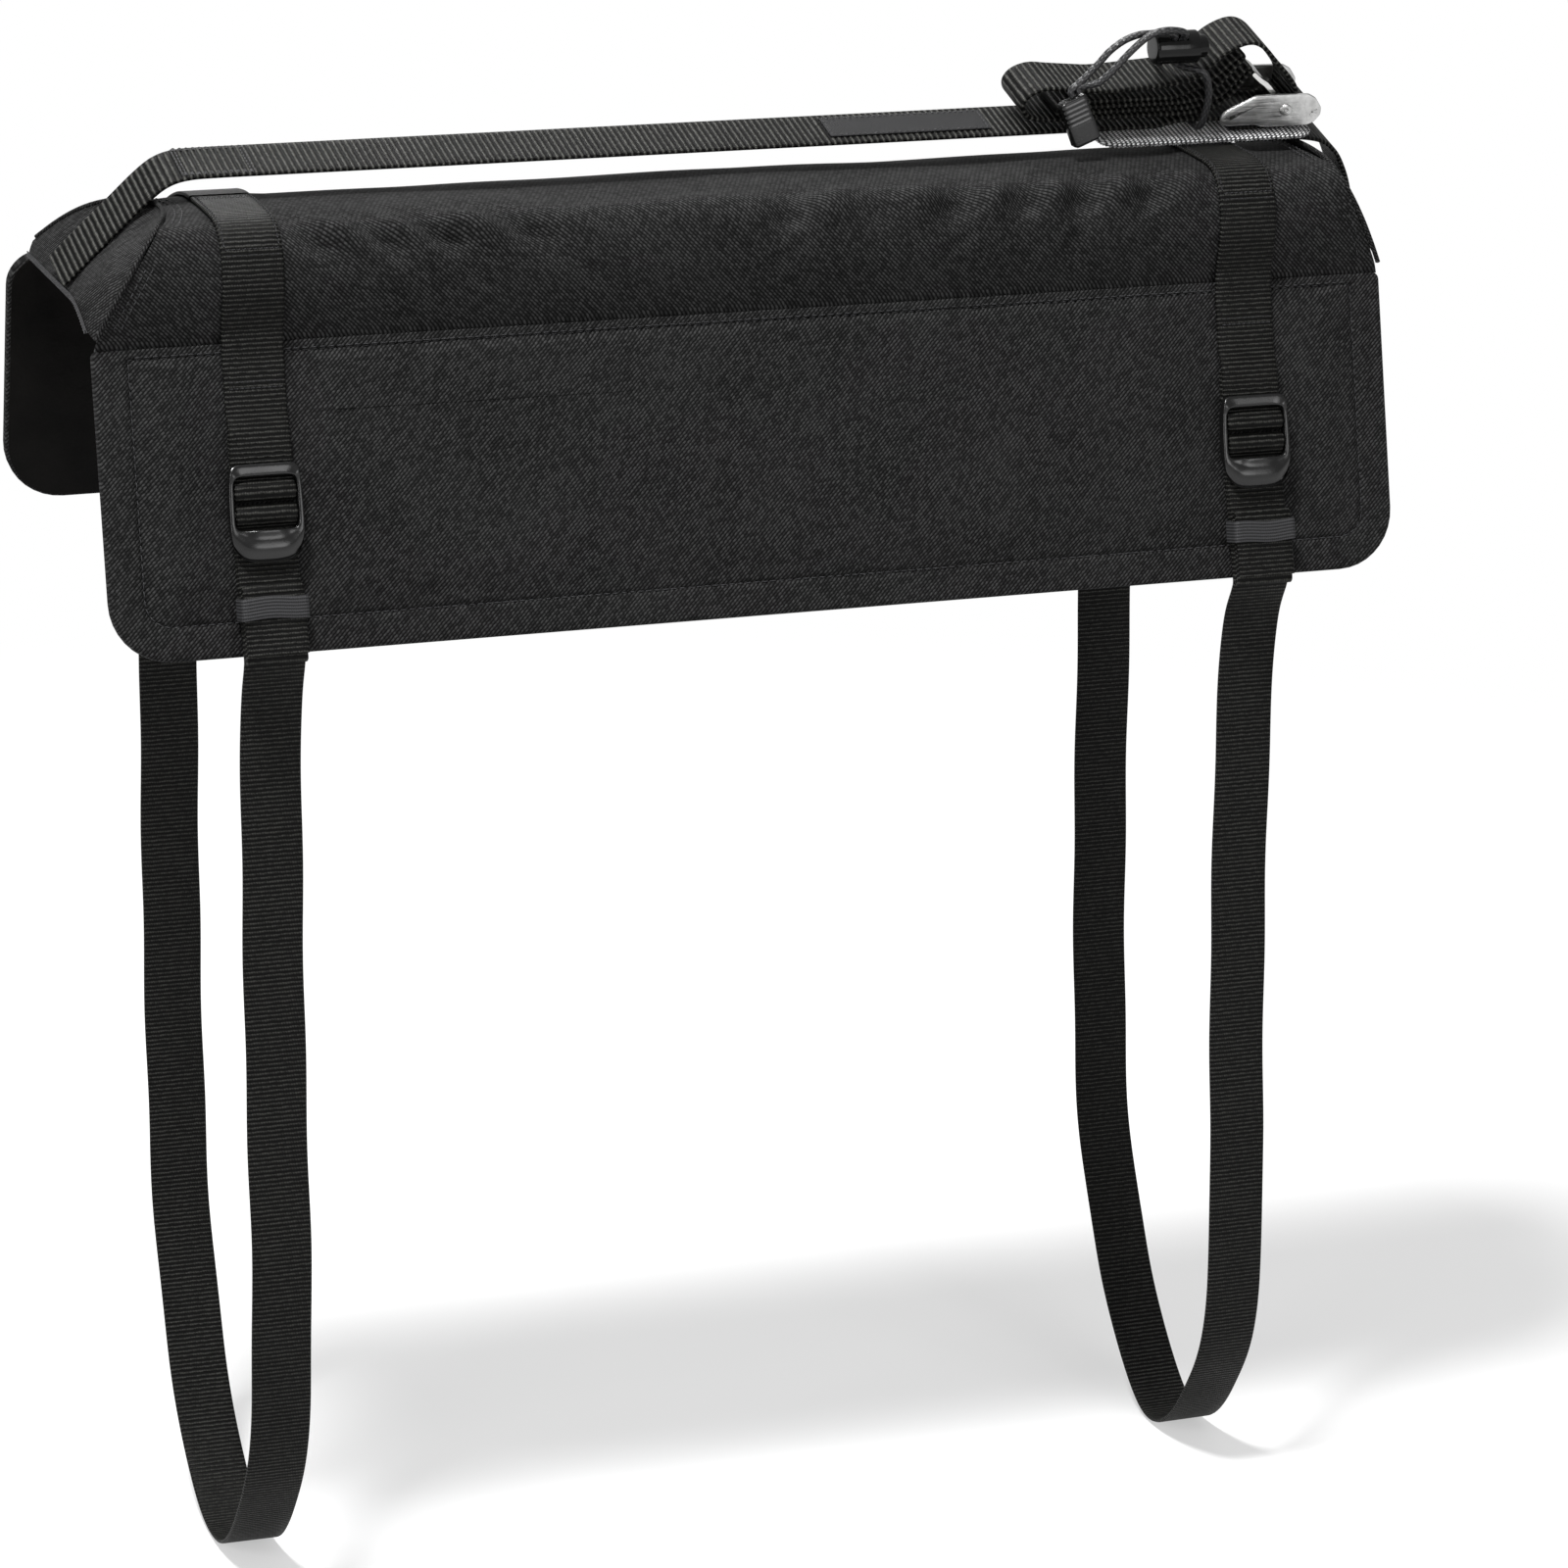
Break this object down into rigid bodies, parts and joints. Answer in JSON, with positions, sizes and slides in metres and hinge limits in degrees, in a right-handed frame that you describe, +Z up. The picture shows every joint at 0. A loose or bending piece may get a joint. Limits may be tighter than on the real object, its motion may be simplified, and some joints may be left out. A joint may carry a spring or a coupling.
{
  "type": "tailgate pad",
  "caption": "Padded roll with two hanging flaps that saddles a pickup tailgate, held by buckled straps, with a cinch strap and cam buckle on top.",
  "frame": {"origin": "middle of the roll's flat underside, where it rests on the tailgate's top edge", "axes": "+X along the pad towards the cam buckle, -Y towards the ladder-lock buckles, +Z up"},
  "size_m": [0.578, 0.1822, 0.6421],
  "materials": {
    "roll_cover": "woven matt",
    "roll_foam_core": "closed-cell foam",
    "saddle_lining": "smooth coated",
    "left_end_gusset": "woven matt",
    "right_end_gusset": "woven matt",
    "front_flap_shell": "woven matt",
    "front_flap_foam": "closed-cell foam",
    "front_flap_lining": "smooth coated",
    "rear_flap_shell": "woven matt",
    "rear_flap_foam": "closed-cell foam",
    "rear_flap_lining": "smooth coated",
    "left_buckle_strap": "webbing",
    "left_tailgate_strap": "webbing",
    "left_tail_keeper": "knitted elastic",
    "left_ladder_lock": "satin moulded",
    "right_buckle_strap": "webbing",
    "right_tailgate_strap": "webbing",
    "right_tail_keeper": "knitted elastic",
    "right_ladder_lock": "satin moulded",
    "cinch_strap": "ribbed webbing",
    "strap_label": "woven label",
    "buckle_pad": "grey knit",
    "buckle_web": "webbing",
    "pad_anchor_web": "webbing",
    "cam_buckle_frame": "brushed die casting",
    "cam_lever": "bright plated",
    "cam_pin": "riveted",
    "cam_spring": "spring wire",
    "bundle_cord": "braided elastic",
    "cord_lock_barrel": "gloss moulded",
    "cord_lock_plunger": "gloss moulded",
    "cord_lock_spring": "spring wire",
    "cord_end": "ribbed moulded"
  },
  "bodies": {
    "pad": {"roll_cover": "roll_cover", "roll_foam_core": "roll_foam_core", "saddle_lining": "saddle_lining", "left_end_gusset": "left_end_gusset", "right_end_gusset": "right_end_gusset", "front_flap_shell": "front_flap_shell", "front_flap_foam": "front_flap_foam", "front_flap_lining": "front_flap_lining", "rear_flap_shell": "rear_flap_shell", "rear_flap_foam": "rear_flap_foam", "rear_flap_lining": "rear_flap_lining", "left_buckle_strap": "left_buckle_strap", "left_tailgate_strap": "left_tailgate_strap", "left_tail_keeper": "left_tail_keeper", "left_ladder_lock": "left_ladder_lock", "right_buckle_strap": "right_buckle_strap", "right_tailgate_strap": "right_tailgate_strap", "right_tail_keeper": "right_tail_keeper", "right_ladder_lock": "right_ladder_lock", "cinch_strap": "cinch_strap", "strap_label": "strap_label", "buckle_pad": "buckle_pad", "buckle_web": "buckle_web", "pad_anchor_web": "pad_anchor_web", "cam_buckle_frame": "cam_buckle_frame", "cam_pin": "cam_pin", "cam_spring": "cam_spring", "bundle_cord": "bundle_cord", "cord_lock_barrel": "cord_lock_barrel", "cord_lock_spring": "cord_lock_spring", "cord_end": "cord_end"},
    "lever": {"cam_lever": "cam_lever"},
    "plunger": {"cord_lock_plunger": "cord_lock_plunger"}
  },
  "joints": [
    {"name": "cam_lever_hinge", "type": "hinge", "parent": "pad", "child": "lever", "pos_m": [0.2498, -0.00166, 0.05378], "axis": [0, -0.9659, -0.2588], "range_deg": [0, 30], "stiffness_Nm_per_rad": 0.05, "springref_deg": -34.38},
    {"name": "cord_lock_press", "type": "slide", "parent": "pad", "child": "plunger", "axis": [-1, 0, 0], "range_m": [0, 0.0022], "stiffness_N_per_m": 400, "springref_m": -0.004, "deforming": ["cord_lock_spring"]}
  ]
}
